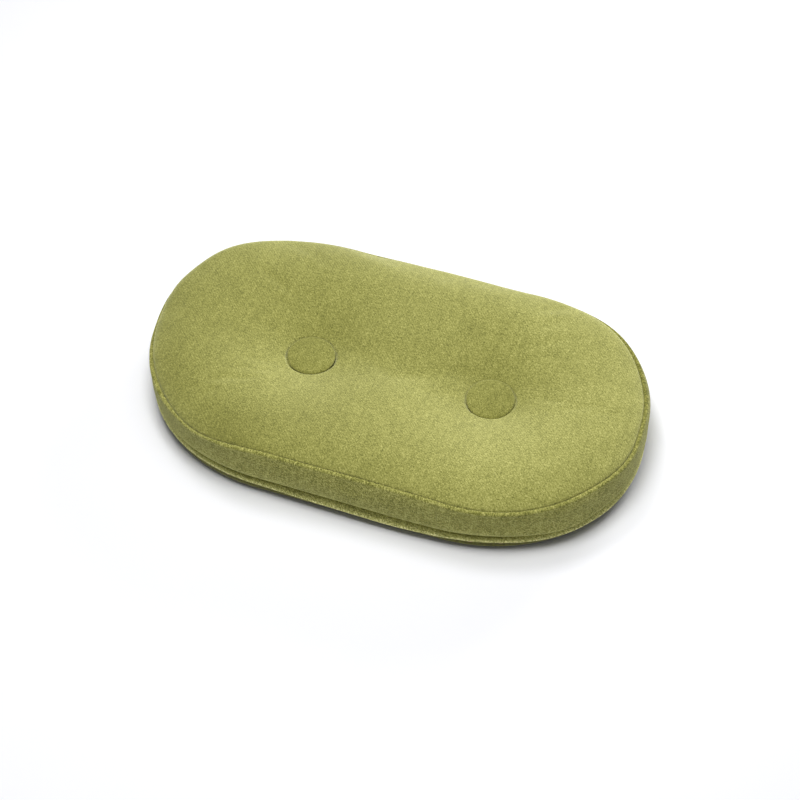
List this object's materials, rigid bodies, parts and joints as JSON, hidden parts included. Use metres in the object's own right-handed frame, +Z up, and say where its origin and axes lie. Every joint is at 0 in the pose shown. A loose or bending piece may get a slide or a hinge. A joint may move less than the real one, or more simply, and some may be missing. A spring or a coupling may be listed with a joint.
{
  "type": "balance pad",
  "caption": "Oblong padded pad with round ends, buttoned fabric-covered foam on a seat board, over a fabric-wrapped base board on low rubber feet.",
  "frame": {"origin": "on the surface the pad stands on, under the middle of the pad", "axes": "+Z up, +X along the pad's length, +Y across it"},
  "size_m": [0.42, 0.25, 0.0571],
  "materials": {
    "cover_fabric": "chenille upholstery fabric, soft matt pile with a faint sheen",
    "foam": "open-cell polyurethane foam, matt",
    "wadding": "fluffy polyester wadding",
    "plywood": "sanded birch plywood",
    "dust_cloth": "thin black non-woven cloth",
    "zinc_steel": "bright zinc plating",
    "aluminium": "plain pressed aluminium",
    "rubber": "matt black rubber",
    "waxed_twine": "waxed twisted polyester twine",
    "nylon": "natural nylon"
  },
  "bodies": {
    "root": {"top_panel": "cover_fabric", "side_band": "cover_fabric", "padding_layer": "wadding", "foam_core": "foam", "seat_board": "plywood", "base_board": "plywood", "base_wrap": "cover_fabric", "dust_cover": "dust_cloth", "button_cover_left": "cover_fabric", "button_shell_left": "aluminium", "button_back_left": "zinc_steel", "tufting_twine_left": "waxed_twine", "twine_anchor_left": "nylon", "button_cover_right": "cover_fabric", "button_shell_right": "aluminium", "button_back_right": "zinc_steel", "tufting_twine_right": "waxed_twine", "twine_anchor_right": "nylon", "foot_1": "rubber", "foot_washer_1": "zinc_steel", "foot_screw_1": "zinc_steel", "tee_nut_1": "zinc_steel", "foot_2": "rubber", "foot_washer_2": "zinc_steel", "foot_screw_2": "zinc_steel", "tee_nut_2": "zinc_steel", "foot_3": "rubber", "foot_washer_3": "zinc_steel", "foot_screw_3": "zinc_steel", "tee_nut_3": "zinc_steel", "foot_4": "rubber", "foot_washer_4": "zinc_steel", "foot_screw_4": "zinc_steel", "tee_nut_4": "zinc_steel", "staple_01": "zinc_steel", "staple_02": "zinc_steel", "staple_03": "zinc_steel", "staple_04": "zinc_steel", "staple_05": "zinc_steel", "staple_06": "zinc_steel", "staple_07": "zinc_steel", "staple_08": "zinc_steel", "staple_09": "zinc_steel", "staple_10": "zinc_steel", "staple_11": "zinc_steel", "staple_12": "zinc_steel", "staple_13": "zinc_steel", "staple_14": "zinc_steel", "staple_15": "zinc_steel", "staple_16": "zinc_steel"}
  },
  "joints": []
}
